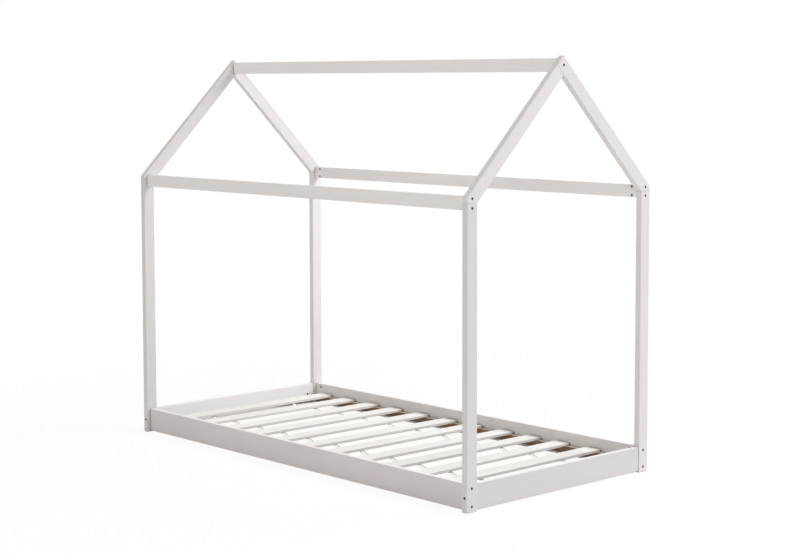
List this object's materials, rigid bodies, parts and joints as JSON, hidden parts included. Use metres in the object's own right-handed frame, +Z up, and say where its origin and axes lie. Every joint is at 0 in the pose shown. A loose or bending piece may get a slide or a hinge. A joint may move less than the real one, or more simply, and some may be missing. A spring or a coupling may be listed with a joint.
{
  "type": "house frame bed",
  "caption": "Low child bed of painted wood: an open house-shaped frame with a pitched roof outline, standing round a loose slatted base that lifts out.",
  "frame": {"origin": "on the floor, at the middle of the footprint", "axes": "+X along the bed to its right-hand end, +Y from the front long side to the back one, +Z up"},
  "size_m": [1.98, 0.99, 1.6052],
  "materials": {
    "painted_pine": "satin white paint over planed pine",
    "bare_pine": "unpainted planed pine, brown with age",
    "slat_pine": "thin white paint over sawn pine",
    "webbing": "woven webbing",
    "bolt_steel": "black oxide",
    "nut_steel": "dark zinc",
    "dowel_beech": "fluted beech, unfinished",
    "screw_steel": "yellow zinc",
    "staple_steel": "bright steel"
  },
  "bodies": {
    "frame": {"post_front_left": "painted_pine", "post_front_right": "painted_pine", "post_back_left": "painted_pine", "post_back_right": "painted_pine", "rafter_front_left": "painted_pine", "rafter_front_right": "painted_pine", "rafter_back_left": "painted_pine", "rafter_back_right": "painted_pine", "eaves_beam_front": "painted_pine", "eaves_beam_back": "painted_pine", "ridge_beam": "painted_pine", "side_rail_front": "painted_pine", "side_rail_back": "painted_pine", "end_rail_left": "painted_pine", "end_rail_right": "painted_pine", "ledger_front": "bare_pine", "ledger_back": "bare_pine", "side_rail_bolts": "bolt_steel", "end_rail_bolts": "bolt_steel", "eaves_bolts": "bolt_steel", "ridge_bolts": "bolt_steel", "side_rail_barrel_nuts": "nut_steel", "end_rail_barrel_nuts": "nut_steel", "eaves_barrel_nuts": "nut_steel", "ridge_barrel_nuts": "nut_steel", "end_rail_dowels": "dowel_beech", "rafter_foot_dowels": "dowel_beech", "ridge_dowels": "dowel_beech", "apex_dowels": "dowel_beech", "ledger_screws": "screw_steel"},
    "slat_base": {"slat_01": "slat_pine", "slat_02": "slat_pine", "slat_03": "slat_pine", "slat_04": "slat_pine", "slat_05": "slat_pine", "slat_06": "slat_pine", "slat_07": "slat_pine", "slat_08": "slat_pine", "slat_09": "slat_pine", "slat_10": "slat_pine", "slat_11": "slat_pine", "slat_12": "slat_pine", "slat_strap_front": "webbing", "slat_strap_back": "webbing", "strap_staples": "staple_steel"}
  },
  "joints": [
    {"name": "slat_base_lift", "type": "slide", "parent": "frame", "child": "slat_base", "axis": [0, 0, 1], "range_m": [0, 0.25]}
  ]
}
